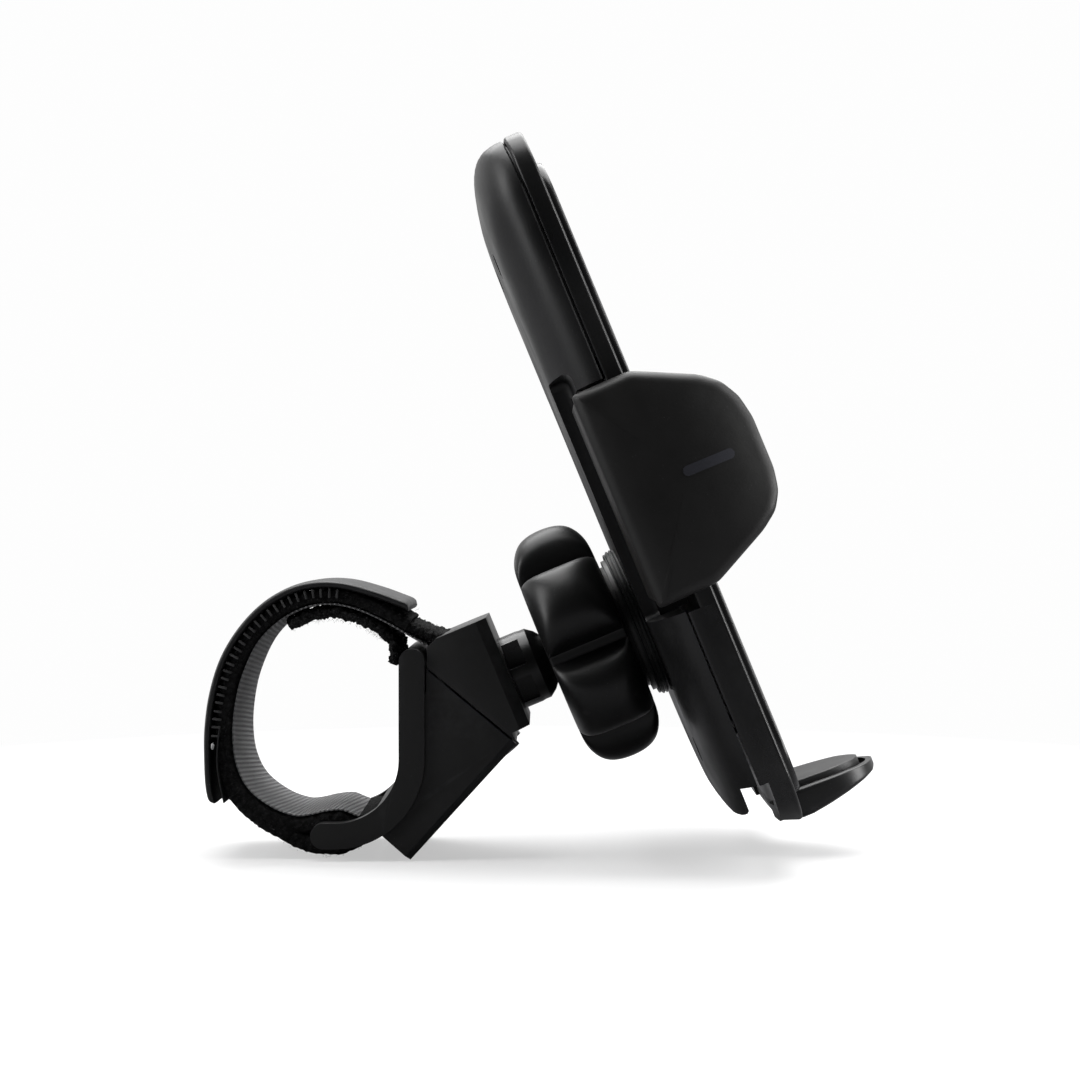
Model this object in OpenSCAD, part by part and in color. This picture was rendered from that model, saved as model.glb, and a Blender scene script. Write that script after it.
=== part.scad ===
// Phone holder for a handlebar: a strap saddle, a ball joint with a lock nut, and a motor driven cradle.
// World frame: the origin is on the handlebar's axis, +Y runs along the handlebar, +X points to the rider.
// Cradle frame: the origin is the ball's centre, +X leaves the cradle's face, +Z runs up the cradle.

/* [Handlebar and strap] */
// Radius of the handlebar seat that the strap closes to
bar_r = 12.8; // [12.4:0.1:13.2]
// Width of the webbing strap
strap_w = 20; // [18:1:21]
// Thickness of one strap leg
strap_t = 1.2; // [1.1:0.05:1.3]

/* [Bracket and wedge] */
// Width of the bracket and the wedge along the handlebar
base_w = 25; // [24:1:28]
// Thickness of the bracket
bracket_t = 4; // [3.6:0.2:4.2]

/* [Ball joint] */
// Radius of the ball
ball_r = 8; // [7.8:0.05:8]
// Overall radius of the lock nut
nut_r = 20; // [19:0.5:21]
// Thickness of the lock nut
nut_t = 12.7; // [12.5:0.1:12.9]

/* [Cradle] */
// Lean of the cradle from upright
lean = 22.5; // [20:0.5:25]
// Half width of the cradle body
body_hw = 30; // [29.5:0.1:30]
// Top end of the cradle body above the ball
body_top = 74.5; // [73:0.5:78]
// Height of the arms' centre above the ball
arm_z = 19; // [18.5:0.25:19.5]

/* [Hidden] */
$fn = 96;
eps = 0.05;

// where the ball's centre stands from the handlebar's axis
ball_at = [42.5, 0, 13.3];

// bracket: a J round the lower right of the bar
face_x = bar_r + 0.05;
bend_c = [3.05, -4.3];
bend_r = face_x - bend_c[0];
bracket_top = 12.8;
bracket_end = -0.8;
slot_x = [5.2, 9.4];

// strap: path of the inner leg's inside from the top of the seat arc on, going up and over
arc_from = 158;
arc_to = 296;
over_path = [[-11.87, 4.79], [-11.2, 9.2], [-9.4, 13.2], [-5.6, 17.2], [-1.6, 19.2], [2.0, 19.5], [5.6, 18.9],
             [9.4, 17.0]];
// inside of the outer leg: under the bracket, then up and over just clear of the inner leg
function under_path() = concat(
    [[6.6, -18.2], [1.5, -18.2], [-2.6, -17.8], [-7.2, -15.6], [-11.6, -11.9], [-13.7, -7.4]],
    [for (a = [188 : -8 : 164]) (bar_r + strap_t + 0.1) * [cos(a), sin(a)]],
    side_line(over_path, strap_t + 0.1), [[13.2, 16.8]]);
cover_path = [[-14.4, -11.6], [-15.7, -7.4], [-16.2, -2.2], [-15.9, 3.4], [-14.9, 8.9], [-13.1, 13.7], [-9.9, 17.9],
              [-6.1, 20.4], [-2.2, 21.7], [1.6, 22.1], [5.4, 21.6], [9.8, 20.1], [15.0, 18.2]];
cover_t = 1.0;
tape_path = [[10.6, 15.9], [12.4, 14.9], [14.2, 13.7], [16.6, 12.5], [19.2, 11.6], [21.6, 11.15]];
tail_path = [[-6.6, 16.2], [-4.6, 16.8], [-1.6, 17.9], [2.0, 18.2], [5.2, 17.6], [8.2, 16.0], [10.2, 14.6]];
pin_at = [21.6, 9.6];
pin_r = 1.5;

// wedge: upper cap and lower block, split along a line square to the block's long edge
cap_pts = [[17.2, 9.9], [17.2, 13.0], [18.6, 14.4], [26.2, 17.55], [33.3, 0.4], [31.2, -1.7]];
block_pts = [[17.1, 9.6], [31.0, -2.0], [14.6, -19.9], [10.1, -15.95]];
edge_cham = 2.4;
well = [[14.5, 8.2], [25.5, 15.2]];

// neck between the wedge's face and the ball, as distances behind the ball's centre
neck_r = 6.0;
face_d = 13.4;
disc_d = [8.9, 9.8];
waist_d = 7.7;
waist_r = 5.0;
root_d = 6.9;
root_r = 4.0;

// ball joint shells, each 0.05 mm clear of the next
liner_r = [ball_r + 0.05, ball_r + 0.45];
cup_r = ball_r + 0.5;
collar_r = 10.2;
finger_end = -4.6;
finger_r = 8.8;
nut_x = [-6.8, -6.8 + nut_t];
lobe_n = 6;
lobe_r = 7.6;
lobe_c = nut_r - lobe_r;
flange_x = [7.7, 9.2];
flange_r = 12;
spigot_r = 6;

// cradle shells
back_x = 9.2;
split_x = 16.4;
frame_x = [16.6, 19.4];
panel_x = [19.4, 21.0];
skirt_x = 14.8;
wall = 1.5;
body_low = -32;
frame_low = -36;
spine_hw = 14;
recess_z = [0.4, 39.2];
recess_top = 36.2;
screw_yz = [[-9, 60], [9, 60], [-9, -21.5], [9, -21.5]];

// arms
arm_in = 32.6;
arm_t = 3;
arm_back = 10.9;
plate_x = [10.9, 12.9];
rack_x = [13.2, 15.9];
mark_x = [22.1, 28.5];
arm_pts = [[10.9, 2.4], [10.9, 35.4], [20.0, 35.5], [29.4, 31.0], [31.8, 29.0], [33.3, 26.2], [33.9, 22.8],
           [33.9, 14.6], [33.2, 11.4], [31.6, 9.0], [29.2, 7.2], [20.2, 2.7]];

// gears: pinion and racks, then the wheel and the motor's gear
rack_m = 0.8;
pinion_n = 14;
wheel_m = 0.5;
wheel_n = 32;
drive_n = 12;
pinion_r = rack_m * pinion_n / 2;
drive_z = arm_z + wheel_m * (wheel_n + drive_n) / 2;
wheel_x = [10.9, 12.8];
backlash = 0.12;

// along a side view: the outline lies in X and Z, and the width is centred on Y
module across(w) rotate([90, 0, 0]) linear_extrude(w, center = true) children();

// a slab from x0 to x1 whose outline lies in Y and Z
module slab(x0, x1) translate([x0, 0, 0]) rotate([90, 0, 90]) linear_extrude(x1 - x0) children();

// a round bar along X from x0 to x1 at y, z
module rod(x0, x1, r, at = [0, 0]) translate([x0, at[0], at[1]]) rotate([0, 90, 0]) cylinder(h = x1 - x0, r = r);

// a round bar along Y
module cross_rod(w, r, at) translate([at[0], 0, at[1]]) rotate([90, 0, 0]) cylinder(h = w, r = r, center = true);

module cuboid(x, y, z) translate([x[0], y[0], z[0]]) cube([x[1] - x[0], y[1] - y[0], z[1] - z[0]]);

module on_cradle() translate(ball_at) rotate([0, -lean, 0]) children();

// a profile in distance along X and radius, turned about the X axis
module turned() rotate([0, 90, 0]) rotate_extrude() rotate([0, 0, 90]) mirror([0, 1]) children();

module rounded_2d(hw, z0, z1, rt, rb) {
    polygon([[-hw + rb, z0], [hw - rb, z0], [hw, z0 + rb], [hw, z1 - rt], [hw - rt, z1], [-hw + rt, z1],
             [-hw, z1 - rt], [-hw, z0 + rb]]);
    for (s = [-1, 1]) {
        translate([s * (hw - rb), z0 + rb]) circle(rb);
        translate([s * (hw - rt), z1 - rt]) circle(rt);
    }
}

// a smooth line through the points, n steps between each two
function curve_at(a, b, c, d, t) =
    0.5 * (2 * b + (c - a) * t + (2 * a - 5 * b + 4 * c - d) * t * t + (3 * b - a - 3 * c + d) * t * t * t);
function curve(p, n = 3) = [
    for (i = [0 : len(p) - 2], k = [0 : n - 1])
        curve_at(p[max(i - 1, 0)], p[i], p[i + 1], p[min(i + 2, len(p) - 1)], k / n),
    p[len(p) - 1]];
function left_of(a, b) = let (d = b - a) [-d[1], d[0]] / norm(d);
function side_line(p, off) = [
    for (i = [0 : len(p) - 1]) p[i] + off * left_of(p[max(i - 1, 0)], p[min(i + 1, len(p) - 1)])];
function reversed(p) = [for (i = [len(p) - 1 : -1 : 0]) p[i]];

// a band that follows a path, from one offset to another on its left
module band(path, from, to, w) {
    line = curve(path);
    across(w) polygon(concat(side_line(line, from), reversed(side_line(line, to))));
}

// involute spur gear outline
function inv_pt(rb, t) = rb * [cos(t) + t * PI / 180 * sin(t), sin(t) - t * PI / 180 * cos(t)];
function turn(p, a) = [p[0] * cos(a) - p[1] * sin(a), p[0] * sin(a) + p[1] * cos(a)];
function gear_pts(m, n, slack) =
    let (rp = m * n / 2, rb = rp * cos(20), ra = rp + m * 0.95, rr = rp - m * 1.2,
         t_at = sqrt(pow(rp / rb, 2) - 1) * 180 / PI, t_top = sqrt(pow(ra / rb, 2) - 1) * 180 / PI,
         t_low = rr > rb ? sqrt(pow(rr / rb, 2) - 1) * 180 / PI : 0,
         q = inv_pt(rb, t_at), lag = atan2(q[1], q[0]), half = 90 / n - slack / (2 * rp) * 180 / PI)
    [for (i = [0 : n - 1], p = concat(
        [turn([rr, 0], i * 360 / n - half - lag * 0.9)],
        [for (k = [0 : 5]) turn(inv_pt(rb, t_low + (t_top - t_low) * k / 5), i * 360 / n - half - lag)],
        [for (k = [5 : -1 : 0]) let (g = inv_pt(rb, t_low + (t_top - t_low) * k / 5))
            turn([g[0], -g[1]], i * 360 / n + half + lag)],
        [turn([rr, 0], i * 360 / n + half + lag * 0.9)])) p];

module j_outline(off_in, off_out) {
    difference() {
        union() {
            translate([face_x + off_in, bend_c[1]])
                square([bracket_t - off_in + off_out, bracket_top - bracket_t / 2 - bend_c[1]]);
            translate([face_x + bracket_t / 2, bracket_top - bracket_t / 2]) circle(bracket_t / 2);
            intersection() {
                translate(bend_c) circle(bend_r + bracket_t + off_out);
                translate(bend_c - [0, 30]) square([30, 30]);
            }
            translate([bracket_end + bracket_t / 2, bend_c[1] - bend_r - bracket_t])
                square([bend_c[0] - bracket_end - bracket_t / 2, bracket_t]);
            translate([bracket_end + bracket_t / 2, bend_c[1] - bend_r - bracket_t / 2]) circle(bracket_t / 2);
        }
        intersection() {
            translate(bend_c) circle(bend_r + off_in);
            translate(bend_c - [0, 30]) square([30, 30]);
        }
    }
}

// the J, with a slot near the bend that the strap's fold passes through
module saddle_bracket() color([0.13, 0.13, 0.14])
    difference() {
        across(base_w) j_outline(0, 0);
        cuboid([slot_x[0], slot_x[1]], [-strap_w / 2 - 0.4, strap_w / 2 + 0.4], [-20, -8]);
    }

// the two screws stand square to the parting line
module at_cap_screws() for (y = [-8, 8]) translate([24.1, y, 3.9]) rotate([0, 140, 0]) children();

module wedge_block() color([0.11, 0.11, 0.12])
    difference() {
        across(base_w - 1) difference() {
            polygon(block_pts);
            translate(bend_c) circle(bend_r + bracket_t + 0.02);
            translate([-10, bend_c[1]]) square([10 + face_x + bracket_t + 0.02, 30]);
            polygon([[17.1, 9.6], [17.1, 6], [15, 6], [15, 12]]);
        }
        // long lower edge, bevelled on both sides
        for (s = [-1, 1]) translate([31.0, s * (base_w / 2 - 0.5), -2.0])
            rotate([0, 41.9, 0]) rotate([0, 0, s * 45]) cube([1.8, 1.8, 80], center = true);
        at_cap_screws() {
            cylinder(h = 40, r = 0.9, center = true);
            translate([0, 0, 8]) cylinder(h = 20, r = 1.9);
        }
    }

module wedge_cap() color([0.12, 0.12, 0.13])
    difference() {
        across(base_w - 1) difference() {
            polygon(cap_pts);
            translate([33.3, 0.4]) rotate(-22.5 - 45) translate([-0.6, -3]) square([3, 6]);
        }
        // front edges, bevelled on both sides
        for (s = [-1, 1]) on_cradle() translate([-face_d, s * (base_w / 2 - 0.5), 0])
            rotate([0, 0, 45]) cube([edge_cham, edge_cham, 60], center = true);
        // well for the strap's upper fold and its pin
        cuboid([well[0][0], well[1][0]], [-strap_w / 2 - 0.6, strap_w / 2 + 0.6], [well[0][1] - 1.6, well[1][1] - 1.4]);
        // square socket for the stud's foot, with its screw hole
        on_cradle() cuboid([-face_d - 2.2, -face_d + 4], [-4, 4], [-4, 4]);
        on_cradle() rod(-25, -face_d, 1.2);
        at_cap_screws() translate([0, 0, -3]) cylinder(h = 12, r = 0.9);
        cross_rod(base_w - 3, pin_r + 0.05, pin_at);
    }

// ball, waist, disc and a cored neck with a square foot
module ball_stud() color([0.1, 0.1, 0.11])
    on_cradle() difference() {
        union() {
            sphere(r = ball_r);
            turned() polygon([[-face_d, 0], [-face_d, neck_r], [-disc_d[1] - 0.6, neck_r], [-disc_d[1], neck_r - 0.1],
                              [-disc_d[0], neck_r - 0.1], [-waist_d, waist_r], [-root_d, root_r], [-5, root_r], [-5, 0]]);
            cuboid([-face_d - 2.1, -face_d + 1], [-3.95, 3.95], [-3.95, 3.95]);
        }
        for (sy = [-1, 1], sz = [-1, 1])
            cuboid([-face_d + 0.1, -disc_d[1] - 0.6], sy > 0 ? [2.2, 8] : [-8, -2.2],
                   sz > 0 ? [0.9, 4.9] : [-4.9, -0.9]);
        rod(-20, -face_d + 3.5, 0.9);
    }

module stud_screw() color("silver")
    on_cradle() {
        rod(-19.0, -face_d + 3.3, 0.9);
        rod(-19.7, -19.0, 1.15);
    }

module cap_screws() color("silver")
    at_cap_screws() {
        translate([0, 0, -2.5]) cylinder(h = 10.5, r = 0.88);
        translate([0, 0, 8]) cylinder(h = 1.4, r = 1.7);
    }

module strap_pin() color("silver") cross_rod(base_w - 3.2, pin_r, pin_at);

// part of a ring from angle a0 to a1
module arc_ring(r0, r1, a0, a1, w) {
    gap = a0 + 360 - a1;
    across(w) difference() {
        circle(r1);
        circle(r0);
        polygon(concat([[0, 0]], [for (k = [0 : 12]) 40 * [cos(a1 + gap * k / 12), sin(a1 + gap * k / 12)]]));
    }
}

module strap_inner_leg() color([0.24, 0.24, 0.25]) {
    arc_ring(bar_r, bar_r + strap_t, arc_from, arc_to, strap_w);
    band(over_path, 0.02, strap_t, strap_w);
}

module strap_outer_leg() color([0.08, 0.08, 0.08])
    difference() {
        union() {
            band(under_path(), 0.03, strap_t, strap_w);
            // fold through the bracket's slot
            across(strap_w)
                polygon([[5.7, -18.2 - strap_t], [8.4, -17.3 - strap_t], [8.4, -13.0], [5.7, -12.2]]);
        }
        rotate([90, 0, 0]) cylinder(h = strap_w + 2, r = bar_r + strap_t + 0.02, center = true);
    }

// anchored end of the webbing, looped round the pin
module hook_tape() color([0.16, 0.16, 0.17])
    difference() {
        union() {
            band(tape_path, 0, 1, strap_w - 1);
            cross_rod(strap_w - 1, pin_r + 1, pin_at);
        }
        cross_rod(strap_w + 1, pin_r + 0.02, pin_at);
    }

module strap_cover() color([0.2, 0.2, 0.21]) {
    band(cover_path, 0.3, 0.3 + cover_t, strap_w + 1);
    // rows of hooks under the cover
    line = curve(cover_path, 5);
    normal = side_line(line, 1);
    for (i = [8 : 1 : len(line) - 4]) let (n = normal[i] - line[i])
        translate([line[i][0] + 0.2 * n[0], 0, line[i][1] + 0.2 * n[1]])
            rotate([0, -atan2(n[1], n[0]), 0]) cube([0.36, strap_w - 1, 0.5], center = true);
}

module pile_tail() color([0.14, 0.14, 0.14]) band(tail_path, -1.3, -0.1, strap_w - 2);

// part of a spherical shell, between two angles from the +X axis
module shell_zone(r0, r1, a0, a1) turned() polygon(concat(
    [for (k = [0 : 16]) r0 * [cos(a0 + (a1 - a0) * k / 16), sin(a0 + (a1 - a0) * k / 16)]],
    [for (k = [16 : -1 : 0]) r1 * [cos(a0 + (a1 - a0) * k / 16), sin(a0 + (a1 - a0) * k / 16)]]));

module ball_liner() color("ivory") on_cradle() shell_zone(liner_r[0] + 0.06, liner_r[1] - 0.02, 62, 112);

module seat_pad() color("dimgray") on_cradle() shell_zone(liner_r[0] + 0.06, liner_r[1] - 0.02, 8, 40);

// threaded cup: flange, collar, and four fingers that the nut squeezes
module ball_socket() color([0.12, 0.12, 0.13])
    on_cradle() difference() {
        turned() polygon([[finger_end, 0], [finger_end, finger_r], [-1, collar_r], [6.6, collar_r],
                          [6.6, collar_r + 0.9], [flange_x[0], collar_r + 0.9], [flange_x[0], flange_r],
                          [flange_x[1], flange_r], [flange_x[1], spigot_r], [12.2, spigot_r], [12.2, 0]]);
        turned() polygon(concat([for (a = [0 : 10 : 120]) cup_r * [cos(a), sin(a)]], [[-6, 6.9], [-6, 0]]));
        for (a = [45, 135]) rotate([a, 0, 0]) cuboid([finger_end - 1, 1.5], [-0.6, 0.6], [-12, 12]);
        difference() {
            rod(11.0, 11.8, spigot_r + 1);
            rod(10.9, 11.9, spigot_r - 0.6);
        }
    }

// holds the cup's spigot in the shell
module socket_clip() color("silver")
    on_cradle() difference() {
        rod(11.05, 11.75, spigot_r + 1.6);
        rod(11, 12, spigot_r - 0.55);
        cuboid([11, 12], [-2.5, 2.5], [0, 12]);
    }

module thrust_ring() color("gainsboro")
    on_cradle() difference() {
        rod(4.6, 5.3, 12.4);
        rod(4, 6, collar_r + 0.1);
    }

// six round lobes with a full round rim, a bore over the collar, a cone on the fingers and a flared mouth
module lock_nut() color([0.1, 0.1, 0.1])
    on_cradle() difference() {
        intersection() {
            slab(nut_x[0], nut_x[1]) {
                circle(lobe_c);
                for (i = [0 : lobe_n - 1]) rotate(90 + i * 360 / lobe_n) translate([lobe_c, 0]) circle(lobe_r);
            }
            turned() {
                translate([nut_x[0], 0]) square([nut_t, nut_r - nut_t / 2]);
                translate([nut_x[0] + nut_t / 2, nut_r - nut_t / 2]) circle(nut_t / 2);
            }
        }
        turned() polygon([[nut_x[0] - 1, 0], [nut_x[0] - 1, 10.9], [-5.3, 7.9], [-4.8, 7.9], [-4.8, finger_r + 0.3],
                          [-1, collar_r + 0.1], [4.5, collar_r + 0.1], [4.5, 12.5], [7, 12.5], [7, 0]]);
    }

// one level of the rear shell's crown: 0 at the split, 90 at the flat back
module crown_level(a, inset) {
    d = (1 - cos(a));
    slab(split_x - (split_x - back_x - inset) * sin(a), split_x - (split_x - back_x - inset) * sin(a) + 0.02)
        rounded_2d(body_hw - inset - (body_hw - 13) * d, body_low + inset + 7 * d, body_top - inset - 13 * d,
                   max(2, 8 - inset), max(2, 8 - inset));
}

module crown(inset) hull() for (a = [0, 22, 42, 60, 76, 90]) crown_level(a, inset);

module arm_recess(grow) for (s = [-1, 1]) {
    side = s > 0 ? [spine_hw - grow, 40] : [-40, -spine_hw + grow];
    cuboid([5, 12.4 + grow], side, [recess_z[0] - grow, recess_z[1] + grow]);
    cuboid([12, split_x + 1], side, [recess_z[0] - grow, recess_top + grow]);
}

module rear_shell() color([0.09, 0.09, 0.1])
    on_cradle() difference() {
        union() {
            difference() {
                crown(0);
                difference() {
                    crown(wall);
                    arm_recess(1.4);
                }
                translate([split_x - 0.03, 0, 0]) cuboid([0, 5], [-40, 40], [-60, 90]);
                arm_recess(0);
            }
            for (p = screw_yz) rod(10.4, p[1] < 0 ? 14.2 : split_x - 0.1, 2.6, p);
            rod(10.4, 10.85, 2.4, [0, arm_z]);
        }
        // lower part ends sooner, where the frame has its skirt
        cuboid([skirt_x - 0.3, 20], [-40, 40], [-60, recess_z[0] + 0.02]);
        for (p = screw_yz) {
            rod(5, 20, 1.1, p);
            rod(5, 11.0, 2.1, p);
        }
        rod(5, 12, spigot_r + 0.05);
        rod(10.0, 12, 1.0, [0, arm_z]);
        for (s = [-1, 1]) cuboid([rack_x[0] - 0.3, split_x + 1], [-20, 20],
                                 s > 0 ? [arm_z + 4.4, arm_z + 9.6] : [arm_z - 9.6, arm_z - 4.4]);
        // mouth of the charging port
        cuboid([11.6, 20], [-5.2, 5.2], [-40, -28]);
    }

module foot_side() polygon([[16.6, -33.5], [16.9, -35.6], [18.0, -37.0], [19.8, -37.5], [22.4, -37.5], [26.3, -36.9],
                            [32.2, -35.9], [33.2, -35.2], [33.0, -34.3], [31.0, -33.8], [19.4, -32.9], [19.4, -28]]);

module front_frame() color([0.11, 0.11, 0.12])
    on_cradle() difference() {
        union() {
            slab(frame_x[0], frame_x[1]) rounded_2d(body_hw, frame_low, body_top, 8, 14);
            // skirt below the arms
            difference() {
                slab(skirt_x, frame_x[0] + eps) rounded_2d(body_hw, frame_low + 5, 30, 8, 10);
                slab(skirt_x - 1, frame_x[0]) rounded_2d(body_hw - wall, frame_low + 6.5, 40, 8, 8.5);
                cuboid([10, frame_x[0]], [-40, 40], [0, 60]);
                cuboid([10, frame_x[0]], [-12, 12], [-60, -20]);
            }
            for (p = screw_yz) rod(p[1] < 0 ? 14.4 : 16.45, frame_x[0] + 1, 2.4, p);
            across(17) foot_side();
        }
        // pocket behind the panel for the cell
        cuboid([18.2, 20], [-20, 20], [-8, 60]);
        for (p = screw_yz) rod(10, frame_x[1] - 0.8, 0.85, p);
        rod(15, 17.6, 1.0, [0, arm_z]);
        // plan taper of the foot
        for (s = [-1, 1]) translate([33.5, s * 9.6, -35]) rotate([0, 0, s * -38]) cube([7, 3.4, 12], center = true);
    }

module front_panel() color([0.05, 0.05, 0.06])
    on_cradle() difference() {
        slab(panel_x[0], panel_x[1]) rounded_2d(25.5, -31.5, 69, 6, 8);
        cuboid([19, 19.5], [-20, 20], [-8, 60]);
    }

module solar_cell() color([0.05, 0.06, 0.12]) on_cradle() cuboid([18.25, 19.45], [-19.6, 19.6], [-7.6, 59.6]);

module foot_pad() color([0.18, 0.18, 0.19])
    on_cradle() across(13) polygon([[21.2, -33.0], [21.2, -31.8], [29.8, -32.7], [31.0, -33.6], [31.0, -33.78]]);

module case_gasket() color("black")
    on_cradle() difference() {
        slab(split_x, frame_x[0]) rounded_2d(body_hw - 0.5, -0.9, body_top - 0.5, 7.5, 1);
        slab(split_x - 1, frame_x[0] + 1) rounded_2d(body_hw - 1.4, 0.0, body_top - 1.4, 6.6, 1);
        cuboid([15, 18], [-40, 40], [recess_z[0] - 5, recess_z[1] + 0.2]);
    }

module case_screws() color("silver")
    on_cradle() for (p = screw_yz) {
        rod(11.0, frame_x[1] - 1.2, 0.85, p);
        rod(9.9, 11.0, 1.9, p);
    }

module battery() color("lightsteelblue")
    on_cradle() for (s = [-1, 1]) cuboid([11.8, 15.4], s > 0 ? [4, 17] : [-17, -4], [41.2, 56]);

module circuit_board() color("darkgreen")
    on_cradle() difference() {
        cuboid([13.0, 14.0], [-21, 21], [-24, -9]);
        for (p = screw_yz) rod(10, 20, 2.8, p);
    }

module charge_port() color("silver")
    on_cradle() difference() {
        cuboid([14.02, 16.4], [-3.9, 3.9], [-28, -21.8]);
        cuboid([14.35, 16.05], [-3.55, 3.55], [-30, -23]);
    }

module motor() color("silver") on_cradle() translate([13.6, 0, 40.6]) cylinder(h = 13, r = 2.7);

module gearbox() color([0.85, 0.85, 0.82])
    on_cradle() difference() {
        cuboid([13.1, 16.3], [-4.6, 4.6], [28.7, 40.6]);
        rod(13, 17, 0.8, [0, drive_z]);
    }

module motor_shaft() color("silver") on_cradle() rod(11.0, 15.6, 0.75, [0, drive_z]);

module pinion_axle() color("silver") on_cradle() rod(10.1, 17.5, 0.95, [0, arm_z]);

// wheel and pinion in one piece
module pinion_gear() color("ivory")
    on_cradle() difference() {
        union() {
            translate([0, 0, arm_z]) slab(wheel_x[0], wheel_x[1])
                rotate(90) polygon(gear_pts(wheel_m, wheel_n, backlash));
            translate([0, 0, arm_z]) slab(wheel_x[1], rack_x[1])
                rotate(90) polygon(gear_pts(rack_m, pinion_n, backlash));
        }
        rod(10, 17, 1.0, [0, arm_z]);
    }

module drive_gear() color("goldenrod")
    on_cradle() difference() {
        translate([0, 0, drive_z]) slab(wheel_x[0], wheel_x[1] + 0.1)
            rotate(90 + 180 / drive_n) polygon(gear_pts(wheel_m, drive_n, backlash));
        rod(10, 17, 0.75, [0, drive_z]);
    }

// the arms are drawn on the left, at -Y, and mirrored

// rack teeth on the Z side that faces the pinion: up is 1 for the rack above it
module rack_2d(up, y0, y1, first) {
    root = up * (pinion_r + rack_m * 1.2);
    tip = up * (pinion_r - rack_m * 0.95);
    pitch = PI * rack_m;
    half = pitch / 4 - backlash / 2;
    rise = rack_m * tan(20);
    translate([0, arm_z]) {
        polygon([[y0, root], [y1, root], [y1, up * 9.2], [y0, up * 9.2]]);
        for (y = [first : pitch : y1 - half - rise]) if (y > y0 + pitch)
            polygon([[y - half - rise * 1.2, root], [y - half + rise * 0.95, tip], [y + half - rise * 0.95, tip],
                     [y + half + rise * 1.2, root]]);
    }
}

module rack(up) difference() {
    union() {
        slab(rack_x[0], rack_x[1]) rack_2d(up, -31.5, 13, -PI * rack_m * 12.5);
        cuboid([plate_x[1], rack_x[1]], [-31.5, -18], up > 0 ? [arm_z + 6.6, arm_z + 9.2] : [arm_z - 9.2, arm_z - 6.6]);
    }
    for (y = [-28, -21]) rod(10, 20, 0.8, [y, arm_z + up * 7.9]);
}

module arm(up) difference() {
    union() {
        difference() {
            translate([0, -arm_in - arm_t / 2, 0]) across(arm_t) polygon(arm_pts);
            // outer corners, softened
            for (x = [arm_back, 33.9]) translate([x, -arm_in - arm_t, 19])
                rotate([0, 0, 45]) cube([1.2, 1.2, 60], center = true);
        }
        cuboid(plate_x, [-arm_in - 0.5, -16.5], [3.4, 34.4]);
    }
    for (y = [-28, -21]) rod(11.4, 20, 0.75, [y, arm_z + up * 7.9]);
    arm_mark();
}

module arm_mark() translate([0, -arm_in - arm_t - 0.1, 19.1]) {
    cuboid(mark_x, [0, 0.6], [-0.75, 0.75]);
    for (x = mark_x) translate([x, 0, 0]) rotate([-90, 0, 0]) cylinder(h = 0.6, r = 0.75);
}

module arm_mark_flush() intersection() {
    arm_mark();
    cuboid([20, 30], [-arm_in - arm_t, 0], [10, 30]);
}

module arm_pad() difference() {
    translate([0, -arm_in + 0.5, 0]) across(1.0) polygon([
        [22.0, 5.6], [22.0, 32.4], [29.0, 29.2], [31.0, 27.6], [32.2, 25.4], [32.7, 22.6], [32.7, 14.8], [32.1, 12.0],
        [30.8, 10.0], [28.8, 8.6]]);
    for (k = [0 : 5]) cuboid([21, 34], [-arm_in + 0.6, -arm_in + 2], [9.2 + 3.8 * k, 10.2 + 3.8 * k]);
}

module rack_screws(up) for (y = [-28, -21]) {
    rod(11.5, rack_x[1], 0.75, [y, arm_z + up * 7.9]);
    rod(rack_x[1], rack_x[1] + 0.45, 1.2, [y, arm_z + up * 7.9]);
}

module on_right() mirror([0, 1, 0]) children();

saddle_bracket();
wedge_block();
wedge_cap();
ball_stud();
stud_screw();
cap_screws();
strap_pin();
strap_inner_leg();
strap_outer_leg();
hook_tape();
strap_cover();
pile_tail();
ball_liner();
seat_pad();
ball_socket();
socket_clip();
thrust_ring();
lock_nut();
rear_shell();
front_frame();
front_panel();
solar_cell();
foot_pad();
case_gasket();
case_screws();
battery();
circuit_board();
charge_port();
motor();
gearbox();
pinion_axle();
pinion_gear();
drive_gear();
motor_shaft();
color([0.1, 0.1, 0.1]) on_cradle() arm(1);  // arm_left
color([0.2, 0.2, 0.2]) on_cradle() arm_pad();  // arm_pad_left
color([0.3, 0.3, 0.32]) on_cradle() arm_mark_flush();  // arm_mark_left
color("ivory") on_cradle() rack(1);  // rack_left
color("silver") on_cradle() rack_screws(1);  // rack_screws_left
color([0.1, 0.1, 0.1]) on_cradle() on_right() arm(-1);  // arm_right
color([0.2, 0.2, 0.2]) on_cradle() on_right() arm_pad();  // arm_pad_right
color([0.3, 0.3, 0.32]) on_cradle() on_right() arm_mark_flush();  // arm_mark_right
color("ivory") on_cradle() on_right() rack(-1);  // rack_right
color("silver") on_cradle() on_right() rack_screws(-1);  // rack_screws_right
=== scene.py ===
import math
import random

import bpy
from mathutils import Matrix, Vector, noise


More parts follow.
